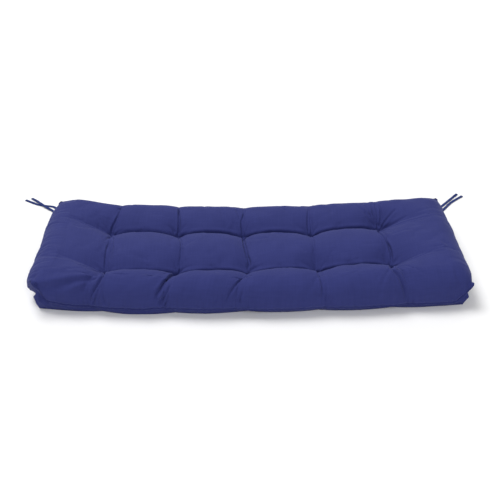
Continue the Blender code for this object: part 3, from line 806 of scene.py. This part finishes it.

# %% [markdown]
# The larger creases are where they are in the photograph, so they are listed one by one: each is a soft
# trough along a smooth line on the flat cloth, with a low ridge on both sides where the cloth it takes
# up is pushed to. A fold with a depth below zero is a ridge between two low troughs. Each line of the
# table gives where a fold runs, in millimetres of flat cloth from the middle of the panel, how deep
# and how wide it is, and how strong it is at its start and its end.

# %% Table of folds
FOLDS = [
    # along the rows, from tuft to tuft
    {"name": "back row 1", "line": [(-424, 92), (-375, 92), (-323, 93), (-270, 92), (-222, 92)],
     "deep": 3.2, "wide": 3.6, "start": 1.0, "end": 1.0},
    {"name": "back row 2", "line": [(-216, 92), (-165, 92), (-117, 93), (-65, 92), (-18, 92)],
     "deep": 6.5, "wide": 3.6, "start": 1.0, "end": 1.0},
    {"name": "back row 3", "line": [(-12, 92), (38, 92), (87, 93), (138, 92), (186, 92)],
     "deep": 7.0, "wide": 3.6, "start": 1.0, "end": 1.0},
    {"name": "back row 4", "line": [(192, 92), (243, 92), (295, 93), (347, 92), (397, 92)],
     "deep": 6.5, "wide": 3.6, "start": 1.0, "end": 1.0},
    {"name": "front row 1", "line": [(-424, -96), (-375, -97), (-323, -97), (-270, -96), (-222, -96)],
     "deep": 2.6, "wide": 3.6, "start": 0.8, "end": 1.0},
    {"name": "front row 2", "line": [(-216, -96), (-165, -97), (-117, -97), (-65, -96), (-18, -96)],
     "deep": 6.0, "wide": 3.6, "start": 1.0, "end": 1.0},
    {"name": "front row 3", "line": [(-12, -96), (38, -97), (87, -97), (138, -96), (186, -96)],
     "deep": 6.5, "wide": 3.6, "start": 1.0, "end": 1.0},
    {"name": "front row 4", "line": [(192, -96), (243, -97), (295, -97), (347, -96), (397, -96)],
     "deep": 6.5, "wide": 3.6, "start": 1.0, "end": 1.0},
    # along the valleys between the rows
    {"name": "first column back", "line": [(-431, 97), (-431, 109), (-423, 143), (-421, 179)],
     "deep": 5.4, "wide": 2.3, "start": 0.7, "end": 1.0},
    {"name": "first column between", "line": [(-427, 88), (-424, 50), (-423, 17), (-430, -21),
                                   (-432, -57), (-434, -86)],
     "deep": 3.0, "wide": 2.2, "start": 1.0, "end": 0.8},
    {"name": "first column twin", "line": [(-421, 60), (-416, 6), (-419, -31), (-422, -62)],
     "deep": 3.2, "wide": 2.2, "start": 0.9, "end": 0.5},
    {"name": "first column hook", "line": [(-425, 50), (-433, 25), (-442, -1)],
     "deep": 6.0, "wide": 3.0, "start": 0.9, "end": 0.0},
    {"name": "second column back", "line": [(-216, 100), (-214, 129), (-220, 183)],
     "deep": 5.6, "wide": 3.2, "start": 1.0, "end": 0.9},
    {"name": "second column companion", "line": [(-227, 103), (-239, 110), (-253, 120)],
     "deep": 3.8, "wide": 3.4, "start": 1.0, "end": 0.0},
    {"name": "second column between", "line": [(-219, 88), (-221, 37), (-220, -39), (-226, -82)],
     "deep": 1.2, "wide": 2.3, "start": 0.9, "end": 0.8},
    {"name": "second column front side", "line": [(-224, -85), (-202, -80), (-179, -81)],
     "deep": 3.0, "wide": 3.0, "start": 1.0, "end": 0.0},
    {"name": "third column back right", "line": [(-18, 101), (-22, 128), (-7, 173)],
     "deep": 3.8, "wide": 2.6, "start": 1.0, "end": 0.5},
    {"name": "third column back left", "line": [(-23, 128), (-31, 148), (-41, 176)],
     "deep": 3.4, "wide": 2.8, "start": 0.5, "end": 0.9},
    {"name": "third column between", "line": [(-15, 88), (-19, 48), (-18, -24), (-12, -58), (-22, -81)],
     "deep": 7.0, "wide": 3.4, "start": 1.0, "end": 0.5},
    {"name": "third column front side", "line": [(-17, -81), (12, -79), (30, -78)],
     "deep": 3.2, "wide": 3.0, "start": 1.0, "end": 0.0},
    {"name": "fourth column back", "line": [(184, 102), (181, 125), (183, 166)],
     "deep": 3.2, "wide": 2.2, "start": 1.0, "end": 0.6},
    {"name": "fourth column back twin", "line": [(195, 105), (196, 125), (196, 160)],
     "deep": 2.8, "wide": 2.2, "start": 0.6, "end": 0.5},
    {"name": "fourth column between", "line": [(188, 86), (181, 16), (186, -48), (196, -83)],
     "deep": 1.4, "wide": 5.0, "start": 0.9, "end": 0.7},
    {"name": "fifth column between", "line": [(399, 88), (390, 55), (385, 23), (394, -11), (404, -43),
                                   (408, -73), (406, -87)],
     "deep": 8.5, "wide": 2.6, "start": 1.0, "end": 0.9},
    # the fan behind the fifth column
    {"name": "fan far left", "line": [(393, 100), (376, 114), (358, 139), (338, 164)],
     "deep": 4.4, "wide": 3.0, "start": 0.9, "end": 0.6},
    {"name": "fan left", "line": [(396, 103), (380, 127), (361, 164)],
     "deep": 4.2, "wide": 2.4, "start": 0.9, "end": 0.7},
    {"name": "fan middle left", "line": [(403, 102), (389, 128), (382, 164)],
     "deep": 4.2, "wide": 2.4, "start": 0.9, "end": 0.7},
    {"name": "fan middle", "line": [(405, 100), (412, 125), (411, 161)],
     "deep": 4.4, "wide": 2.4, "start": 0.9, "end": 0.7},
    {"name": "fan middle right", "line": [(410, 98), (433, 114), (461, 137)],
     "deep": 3.2, "wide": 2.8, "start": 1.0, "end": 0.6},
    {"name": "fan right", "line": [(412, 94), (427, 94), (452, 94), (493, 104)],
     "deep": 3.6, "wide": 3.2, "start": 1.0, "end": 0.3},
    # the valleys that run out to the ends
    {"name": "left back end", "line": [(-435, 93), (-450, 78), (-475, 75), (-498, 80), (-525, 87)],
     "deep": 6.4, "wide": 3.2, "start": 1.0, "end": 0.5},
    {"name": "left back end upright", "line": [(-509, 97), (-516, 126), (-522, 155)],
     "deep": 2.8, "wide": 3.2, "start": 0.3, "end": 0.8},
    {"name": "left front end", "line": [(-440, -94), (-452, -106), (-475, -118), (-494, -130)],
     "deep": 6.0, "wide": 3.2, "start": 1.0, "end": 0.3},
    {"name": "left end level", "line": [(-525, -102), (-551, -110), (-568, -112), (-583, -98)],
     "deep": 3.6, "wide": 5.0, "start": 0.2, "end": 0.9},
    {"name": "right back end", "line": [(406, 85), (425, 70), (461, 74), (506, 76), (549, 71)],
     "deep": 6.4, "wide": 3.2, "start": 1.0, "end": 0.2},
    {"name": "right front end", "line": [(404, -96), (426, -104), (456, -113), (496, -105),
                                   (518, -100)],
     "deep": 6.6, "wide": 3.2, "start": 1.0, "end": 0.2},
    # from the first tuft to the left front ear: two ridges, and the troughs below them
    {"name": "ear ridge long", "line": [(-428, -106), (-412, -163), (-447, -184), (-499, -196),
                                   (-561, -206), (-584, -214)],
     "deep": -4.8, "wide": 5.0, "start": 0.4, "end": 0.9},
    {"name": "ear ridge low", "line": [(-421, -192), (-460, -205), (-504, -215)],
     "deep": -4.8, "wide": 5.0, "start": 0.5, "end": 0.6},
    {"name": "ear trough long", "line": [(-406, -189), (-456, -199), (-512, -207),
                                   (-570, -216)],
     "deep": 6.4, "wide": 4.4, "start": 0.8, "end": 0.6},
    {"name": "ear trough low", "line": [(-430, -204), (-456, -211), (-486, -218)],
     "deep": 5.0, "wide": 4.0, "start": 0.6, "end": 0.6},
    {"name": "ear end", "line": [(-589, -208), (-580, -188), (-569, -167)],
     "deep": 3.5, "wide": 4.6, "start": 0.9, "end": 0.1},
    # in front of the first column
    {"name": "first front", "line": [(-425, -104), (-408, -150), (-394, -183), (-401, -203),
                                   (-413, -213), (-421, -224)],
     "deep": 7.4, "wide": 3.0, "start": 0.9, "end": 0.9},
    {"name": "first front twin", "line": [(-392, -203), (-402, -216), (-414, -226)],
     "deep": 6.0, "wide": 2.6, "start": 0.6, "end": 0.9},
    {"name": "first front right", "line": [(-385, -210), (-381, -217), (-378, -223)],
     "deep": 5.0, "wide": 2.8, "start": 0.3, "end": 0.9},
    # in front of the second column
    {"name": "second front main", "line": [(-232, -94), (-223, -165), (-226, -199), (-235, -209),
                                   (-243, -218)],
     "deep": 8.2, "wide": 3.4, "start": 1.0, "end": 0.9},
    {"name": "second front left", "line": [(-204, -198), (-212, -212), (-232, -223)],
     "deep": 6.0, "wide": 2.9, "start": 0.7, "end": 1.0},
    {"name": "second front right", "line": [(-204, -213), (-208, -219), (-215, -226)],
     "deep": 6.0, "wide": 2.8, "start": 0.5, "end": 1.0},
    # in front of the third column
    {"name": "third front left", "line": [(-15, -104), (-8, -155), (-17, -190), (-31, -206),
                                   (-42, -217), (-48, -223)],
     "deep": 3.8, "wide": 2.5, "start": 1.0, "end": 1.0},
    {"name": "third front middle", "line": [(1, -208), (-4, -215), (-6, -222)],
     "deep": 4.2, "wide": 2.6, "start": 0.4, "end": 0.9},
    {"name": "third front far left", "line": [(-66, -211), (-72, -220)],
     "deep": 2.8, "wide": 2.6, "start": 0.3, "end": 0.9},
    {"name": "third front right", "line": [(-12, -104), (-2, -145), (4, -178), (13, -196), (21, -205)],
     "deep": 3.2, "wide": 3.0, "start": 1.0, "end": 0.0},
    # in front of the fourth column
    {"name": "fourth front left", "line": [(188, -104), (182, -140), (180, -173), (183, -199),
                                   (184, -209), (181, -222)],
     "deep": 4.2, "wide": 2.6, "start": 0.9, "end": 0.9},
    {"name": "fourth front right", "line": [(193, -201), (194, -211), (188, -221)],
     "deep": 3.4, "wide": 2.4, "start": 0.3, "end": 0.9},
    # in front of the fifth column
    {"name": "fifth front main", "line": [(402, -104), (384, -140), (372, -173), (385, -197),
                                   (392, -213), (397, -222)],
     "deep": 8.0, "wide": 3.0, "start": 1.0, "end": 0.8},
    {"name": "fifth front hook", "line": [(404, -102), (388, -140), (380, -167), (395, -186),
                                   (402, -203)],
     "deep": 4.6, "wide": 2.8, "start": 1.0, "end": 0.2},
    {"name": "fifth front left", "line": [(397, -104), (376, -148), (361, -180), (341, -199),
                                   (331, -209)],
     "deep": 4.8, "wide": 3.0, "start": 1.0, "end": 0.5},
    {"name": "fifth front far left", "line": [(394, -104), (366, -150), (350, -182), (327, -195),
                                   (311, -208)],
     "deep": 3.0, "wide": 3.8, "start": 0.6, "end": 0.3},
    {"name": "fifth front right", "line": [(405, -100), (394, -128), (383, -153), (414, -145),
                                   (438, -181), (473, -200)],
     "deep": 3.6, "wide": 2.8, "start": 1.0, "end": 0.3},
    # on the pillows
    {"name": "back rim pillow", "line": [(98, 182), (112, 162), (130, 145)],
     "deep": 3.0, "wide": 3.0, "start": 0.9, "end": 0.0},
    {"name": "back rim pillow twin", "line": [(109, 169), (120, 149), (133, 134)],
     "deep": 2.4, "wide": 2.6, "start": 0.8, "end": 0.0},
]

# %% [markdown]
# Creases like these could be pulled in one by one in Sculpt Mode. Here they all add up to one height
# over the flat cloth, and each is worked out only for the small block of the grid that it reaches.

# %% Folds as a field of height
RIDGE_PLACE = 2.3            # in widths of the trough
RIDGE_WIDTH = 1.3
RIDGE_SHARE = 0.28
TROUGH_POWER = 1.5
FOLD_REACH = 5               # widths beyond which a fold adds nothing
FOLD_START = 0.08            # share of its length over which a fold sets in
FOLD_FADE = 0.15             # and over which it fades out
FOLD_SAMPLES = 15


def fold_heights(across, along, folds):
    """Height that the folds add, in metres.

    Across a fold the height is - deep * exp(-(distance / wide) ^ 1.5), with a low bell of height at
    RIDGE_PLACE widths on each side. Along it the strength goes evenly from start to end. It sets in
    over FOLD_START and fades over FOLD_FADE of the length, both as a square root.
    """
    total = np.zeros_like(across)
    for fold in folds:
        line = smooth_route(np.array(fold["line"]) * MM, FOLD_SAMPLES)
        deep, wide = fold["deep"] * MM, fold["wide"] * MM
        reach = wide * FOLD_REACH
        low, high = line.min(0) - reach, line.max(0) + reach
        rows = np.nonzero((across[:, 0] > low[0]) & (across[:, 0] < high[0]))[0]
        columns = np.nonzero((along[0] > low[1]) & (along[0] < high[1]))[0]
        if not len(rows) or not len(columns):
            continue
        block = np.ix_(rows, columns)
        place = np.stack([across[block], along[block]], -1)[:, :, None, :]
        start, span = line[:-1], np.diff(line, axis=0)
        share = np.clip(((place - start) * span).sum(-1) / (span ** 2).sum(-1), 0, 1)
        gaps = np.linalg.norm(place - start - share[..., None] * span, axis=-1)
        nearest = gaps.argmin(-1)[..., None]
        gap = np.take_along_axis(gaps, nearest, -1)[..., 0]
        way = (nearest[..., 0] + np.take_along_axis(share, nearest, -1)[..., 0]) / len(span)
        strength = fold["start"] + (fold["end"] - fold["start"]) * way
        strength = strength * np.clip(way / FOLD_START, 0, 1) ** 0.5
        strength = strength * np.clip((1 - way) / FOLD_FADE, 0, 1) ** 0.5
        trough = np.exp(-(gap / wide) ** TROUGH_POWER)
        ridge = np.exp(-((gap / wide - RIDGE_PLACE) / RIDGE_WIDTH) ** 2)
        total[block] += deep * strength * (RIDGE_SHARE * ridge - trough)
    return total


deepest = -fold_heights(coarse_u, coarse_v, FOLDS).min()
print("folds placed by hand reach", round(float(deepest) / MM, 1), "mm deep on the coarse grid")

# %% [markdown]
# Besides those folds, a sewn cover has small gathers everywhere its cloth is held: they run out from
# each tuft like the pleats of a drawn bag, and in from the seam, where the thread draws the cloth up.
# They are too many to place by hand, so short folds are dealt out at random from a fixed seed.

# %% Gathers at tufts and seams
SEED = 7
chance = np.random.default_rng(SEED)
TUFT_PLEATS = 12             # at each tuft
PLEAT_LENGTHS = (20, 66)     # mm
PLEAT_DEPTHS = (1.2, 3.2)
PLEAT_WIDTHS = (2.4, 4.2)
SEAM_GATHER_PITCH = 10.0     # mm
GATHER_LENGTHS = (10, 34)
GATHER_DEPTHS = (0.4, 2.2)
GATHER_WIDTHS = (2.4, 4.8)
LOOSE_EDGE = ("x", -1)       # the left end is sewn with the most slack
LOOSE_DEPTH = 2.6            # its gathers are this many times deeper, and longer
LOOSE_LENGTH = 1.9
WRINKLES = 100
WRINKLE_HALVES = (15, 42)    # half lengths, mm
WRINKLE_DEPTHS = (0.7, 2.2)
WRINKLE_WIDTHS = (4.0, 8.0)


def tuft_gathers():
    """Short folds that run out from each tuft, at uneven angles."""
    folds = []
    for column in COLUMNS:
        for row in ROWS:
            for number in range(TUFT_PLEATS):
                angle = 2 * math.pi * (number + chance.uniform(-0.35, 0.35)) / TUFT_PLEATS
                length = chance.uniform(*PLEAT_LENGTHS)
                bend = chance.uniform(-0.25, 0.25)
                radii = np.array([3.0, 0.5 * length, length])
                angles = angle + bend * np.array([0.0, 0.4, 1.0])
                line = np.stack([column / MM + radii * np.cos(angles),
                                 row / MM + radii * np.sin(angles)], 1)
                folds.append({"line": line, "deep": chance.uniform(*PLEAT_DEPTHS),
                              "wide": chance.uniform(*PLEAT_WIDTHS), "start": 1.0, "end": 0.0})
    return folds


def seam_gathers():
    """Short folds that run in from the seams, square to them but for a small lean."""
    folds = []
    sides = [("x", -1), ("x", 1), ("y", -1), ("y", 1)]
    for axis, side in sides:
        along_half = (HALF_DEPTH if axis == "x" else HALF_LENGTH) / MM
        edge = side * (HALF_LENGTH if axis == "x" else HALF_DEPTH) / MM
        count = int(2 * along_half / SEAM_GATHER_PITCH)
        for number in range(count):
            place = -along_half + (number + chance.uniform(0.1, 0.9)) * 2 * along_half / count
            loose = (axis, side) == LOOSE_EDGE
            length = chance.uniform(*GATHER_LENGTHS) * (LOOSE_LENGTH if loose else 1.0)
            lean = chance.uniform(-0.35, 0.35) * length
            ends = [(edge, place), (edge - side * 0.5 * length, place + 0.4 * lean),
                    (edge - side * length, place + lean)]
            line = [pair if axis == "x" else pair[::-1] for pair in ends]
            deep = chance.uniform(*GATHER_DEPTHS) * (LOOSE_DEPTH if loose else 1.0)
            folds.append({"line": line, "deep": deep, "wide": chance.uniform(*GATHER_WIDTHS),
                          "start": 0.6 if loose else 1.0, "end": 0.1 if loose else 0.0})
    return folds


def pillow_wrinkles():
    """Wide, shallow wrinkles that lie anyhow on the pillows."""
    folds = []
    for _ in range(WRINKLES):
        middle = np.array([chance.uniform(-570, 570), chance.uniform(-200, 200)])
        angle = chance.uniform(0, math.pi)
        along_it = np.array([math.cos(angle), math.sin(angle)]) * chance.uniform(*WRINKLE_HALVES)
        aside = np.array([-along_it[1], along_it[0]]) * chance.uniform(-0.35, 0.35)
        folds.append({"line": np.array([middle - along_it, middle + aside, middle + along_it]),
                      "deep": chance.uniform(*WRINKLE_DEPTHS), "wide": chance.uniform(*WRINKLE_WIDTHS),
                      "start": 0.8, "end": 0.4})
    return folds


def soft_noise(across, along, cell, seed):
    """Smooth unevenness between -1 and 1: random values on a lattice of cells, joined by cubics."""
    draw = np.random.default_rng(seed)
    lattice_x = np.arange(-HALF_LENGTH - 2 * cell, HALF_LENGTH + 3 * cell, cell)
    lattice_y = np.arange(-HALF_DEPTH - 2 * cell, HALF_DEPTH + 3 * cell, cell)
    values = draw.uniform(-1, 1, (len(lattice_x), len(lattice_y)))
    return np.einsum("ai,ij,bj->ab", spread_weights(across[:, 0], lattice_x), values,
                     spread_weights(along[0], lattice_y))


gathers = tuft_gathers() + seam_gathers() + pillow_wrinkles()
print(len(FOLDS), "folds placed by hand and", len(gathers), "small gathers")

# %% [markdown]
# Now the parts come together on the fine grid: form, swelling, folds, gathers and the slight lumps of
# a loose fibre filling. The plain seam is a groove with a soft shoulder on each side.

# %% Top panel
LUMPS = [                    # cell of the unevenness and its height
    {"cell": 0.070, "height": 0.0016, "seed": 11},
    {"cell": 0.030, "height": 0.0011, "seed": 12},
]
SEAM_LIFT = 0.007            # the long seams lie this much higher in the middle than the solid's edge
SEAM_SAG = 0.018             # and sag by this much more towards the ends
SEAM_SHOULDER = 0.0014
SEAM_GROOVE = 0.0030
SEAM_WIDTH = 0.0019


def seam_profile(distance):
    """Height beside a plain seam: a groove at the seam and a soft shoulder a little way from it."""
    return (SEAM_SHOULDER * np.exp(-((distance - 3 * SEAM_WIDTH) / (1.6 * SEAM_WIDTH)) ** 2)
            - SEAM_GROOVE * np.exp(-(distance / SEAM_WIDTH) ** 2))


top = top_panel(fine_u, fine_v) + fine_swelling
edge_x = HALF_LENGTH - np.abs(fine_u)
edge_y = HALF_DEPTH - np.abs(fine_v)
near_long_seam = np.clip(1 - edge_y / ROLL, 0, 1) ** DROP_WIDTH_POWER
end_turn = np.clip(1 - edge_x / ROLL, 0, 1)
lift = (SEAM_LIFT - SEAM_SAG * (fine_u / HALF_LENGTH) ** 2) * (1 - end_turn)
top[..., 2] += np.where(fine_v < 0, lift, np.maximum(lift, 0.0)) * near_long_seam
heights = fold_heights(fine_u, fine_v, FOLDS) + fold_heights(fine_u, fine_v, gathers)
for lump in LUMPS:
    heights += lump["height"] * soft_noise(fine_u, fine_v, lump["cell"], lump["seed"])
heights += seam_profile(2 * np.minimum(edge_x, edge_y))
top = top + outward_normals(top) * heights[..., None]
print("height field in mm, from", round(heights.min() / MM, 1), "to", round(heights.max() / MM, 1))

# %% [markdown]
# The underside lies flat on the seat and is drawn up only where the threads come through it. There it
# has the same small pleats as the top, and nowhere does it reach below the seat.

# %% Underside
BASE_PLEATS = 0.6            # depth of its pleats against the top's
BASE_RIM = 0.02              # they set in over this width from the seam
base = base_panel(fine_u, fine_v)
inner = np.clip(np.minimum(edge_x, edge_y) / BASE_RIM, 0, 1)
tuft_folds = fold_heights(fine_u, fine_v, gathers[:len(COLUMNS) * len(ROWS) * TUFT_PLEATS])
off_seat = base[..., 2] > 0.001
base[..., 2] = np.maximum(base[..., 2] - BASE_PLEATS * tuft_folds * inner * off_seat, 0.0)
print("underside is drawn up by", round(float(base[..., 2].max()) / MM, 1), "mm at its tufts")

# %% [markdown]
# The side band is a strip between two seams. Along the front the pillows roll over it and little of it
# shows, but at the corners the ears pull it up, and its slack lies in level folds. A displacement
# texture could crumple it, but folds that follow the strip have to know where its two seams are.

# %% Side band
BAND_RINGS = 13
BAND_FOLDS = 1.8             # level folds down a tall stretch of the band
BAND_CRUMPLE = 0.0045
LOBE = 0.008                 # how far the slack band bags out low at the corners
LOBE_PLACE = 0.78            # share of the way down where it bags most
LOBE_WIDTH = 0.16
BAND_SEED = 23
TALL_FROM = 0.02             # height of band at which it begins to fold
TALL_OVER = 0.075            # and the further height at which it folds in full
OUTWARD_ROUNDS = 6           # rounds of averaging of its outward directions


def band_rings(top, base):
    """Rings of the side band between the seams, slack and folded level where it is tall.

    The band runs straight from seam to seam. Added outward are level folds of 1 - 2 |sin| ^ 0.8,
    whose phase wanders along the band, a bag low down at the corners, and the seam's groove and
    shoulder.
    """
    walk = rim_walk(top.shape[:2])
    upper, lower = top[walk[:, 0], walk[:, 1]], base[walk[:, 0], walk[:, 1]]
    heading = np.roll(lower, -1, axis=0) - np.roll(lower, 1, axis=0)
    outward = np.stack([heading[:, 1], -heading[:, 0], np.zeros(len(walk))], 1)
    outward /= np.linalg.norm(outward, axis=1, keepdims=True)
    for _ in range(OUTWARD_ROUNDS):
        outward = outward + 0.5 * (np.roll(outward, 1, axis=0) + np.roll(outward, -1, axis=0))
        outward /= np.linalg.norm(outward, axis=1, keepdims=True)
    height = np.linalg.norm(upper - lower, axis=1)
    tall = np.clip((height - TALL_FROM) / TALL_OVER, 0, 1)
    travel = travel_along(upper)
    loop = travel[-1] + np.linalg.norm(upper[0] - upper[-1])
    turns = 2 * np.pi * travel / loop
    draw = np.random.default_rng(BAND_SEED)
    wander = sum(draw.uniform(-1, 1) * np.sin(turns * wave + draw.uniform(0, 6.3)) / math.sqrt(wave)
                 for wave in range(3, 40))
    rough = sum(draw.uniform(-1, 1) * np.sin(turns * wave + draw.uniform(0, 6.3))
                for wave in range(60, 140, 3)) / 5
    share = np.linspace(0, 1, BAND_RINGS + 2)[1:-1]
    share = share - 0.5 * np.sin(2 * np.pi * share) / (2 * np.pi)
    rings = []
    for part in share:
        fold = 1 - 2 * np.abs(np.sin(np.pi * BAND_FOLDS * part + 0.7 * wander)) ** 0.8
        body = math.sin(math.pi * part) ** 0.5
        push = BAND_CRUMPLE * tall * fold * body * (1 + 0.5 * rough)
        push += LOBE * tall ** 2 * np.exp(-((part - LOBE_PLACE) / LOBE_WIDTH) ** 2)
        below = height * part
        push += SEAM_GROOVE * (1 - part) * (1 - np.exp(-(below / SEAM_WIDTH) ** 2))
        push += SEAM_SHOULDER * np.exp(-((below - 2 * SEAM_WIDTH) / SEAM_WIDTH) ** 2)
        rings.append(upper + (lower - upper) * part + outward * push[:, None])
    rings = np.array(rings)
    rings[..., 2] = np.maximum(rings[..., 2], 0.0)
    return rings, travel, height, share


rings, band_travel, band_height, band_share = band_rings(top, base)
lowest, tallest = (round(float(limit) / MM) for limit in (band_height.min(), band_height.max()))
print("band is", lowest, "to", tallest, "mm tall")

# %% [markdown]
# All points and faces go into one mesh at once. Its UV map is the flat cloth itself, in metres, so the
# weave keeps its size and runs with the cloth over every pillow, as an image unwrapped by hand would.

# %% Cushion
BAND_MAP_SHIFT = 3.0         # metres that keep the three maps apart
BASE_MAP_SHIFT = 1.5
points, faces = skin(top, base, rings)
cushion = new_object("cushion_cover", points, faces, cover_cloth)
top_map = np.stack([fine_u, fine_v], -1).reshape(-1, 2)
band_down = band_share[:, None] * band_height[None, :]
band_along = band_travel[None, :] + BAND_MAP_SHIFT
band_map = np.stack(np.broadcast_arrays(band_along, band_down), -1).reshape(-1, 2)
set_cloth_map(cushion, np.vstack([top_map, top_map + (0.0, BASE_MAP_SHIFT), band_map]))
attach(cushion, "root")
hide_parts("cushion")
print("cushion triangles:", 2 * len(cushion.data.polygons))

# %% [markdown]
# A tuft is a double stitch of strong thread through the whole cushion. It hardly shows from a step
# away, but it is what holds the dimple. Two short tubes lie over the cloth at the top and at the bottom
# of each tuft, all in one mesh. A knot would be truer, but the pleats around it would hide it.

# %% Tuft threads
THREAD_THICKNESS = 0.0011
STITCH_LENGTH = 0.0075
STITCH_RISE = 0.0012         # how far the middle of a stitch stands off the cloth
STITCH_DIP = 2.2             # how far its ends lie below its middle, in rises
STITCH_ASIDE = 0.0008        # how far each of a pair lies off the middle of the tuft
STITCH_RINGS = 14
STITCH_SIDES = 8


def stitch(place, heading, out):
    """A short thread over the cloth: a tube along x = half length times s, z = rise - dip times s^4."""
    share = np.linspace(-1, 1, STITCH_RINGS)[:, None]
    route = (np.asarray(place) + 0.5 * STITCH_LENGTH * share * heading
             + out * (STITCH_RISE - STITCH_DIP * STITCH_RISE * share ** 4))
    angle = np.linspace(0, 2 * np.pi, STITCH_SIDES, endpoint=False)
    thin = 0.5 * THREAD_THICKNESS * np.clip((1 - np.abs(share)) / 0.1, 0.05, 1) ** 0.5
    side = np.cross(heading, out)
    around = np.cos(angle)[:, None] * side + np.sin(angle)[:, None] * out
    return route[:, None] + thin[..., None] * around


tacks = []
for column in COLUMNS:
    for row in ROWS:
        at = (np.abs(fine_u[:, 0] - column).argmin(), np.abs(fine_v[0] - row).argmin())
        for surface, out in ((top, 1.0), (base, -1.0)):
            middle = surface[at]
            for aside in (-STITCH_ASIDE, STITCH_ASIDE):
                heading = np.array([1.0, 0.5 * np.sign(aside), 0.0])
                tacks.append(stitch(middle + (0.0, aside, 0.0), heading, np.array([0.0, 0.0, out])))
tack_faces = np.vstack([tube_faces(STITCH_RINGS, STITCH_SIDES) + number * STITCH_RINGS * STITCH_SIDES
                        for number in range(len(tacks))])
threads = new_object("tuft_threads", np.reshape(tacks, (-1, 3)), tack_faces, tie_cloth)
set_cloth_map(threads, np.reshape(tacks, (-1, 3))[:, :2])
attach(threads, "root")
print(len(tacks), "stitches at", len(COLUMNS) * len(ROWS), "tufts")
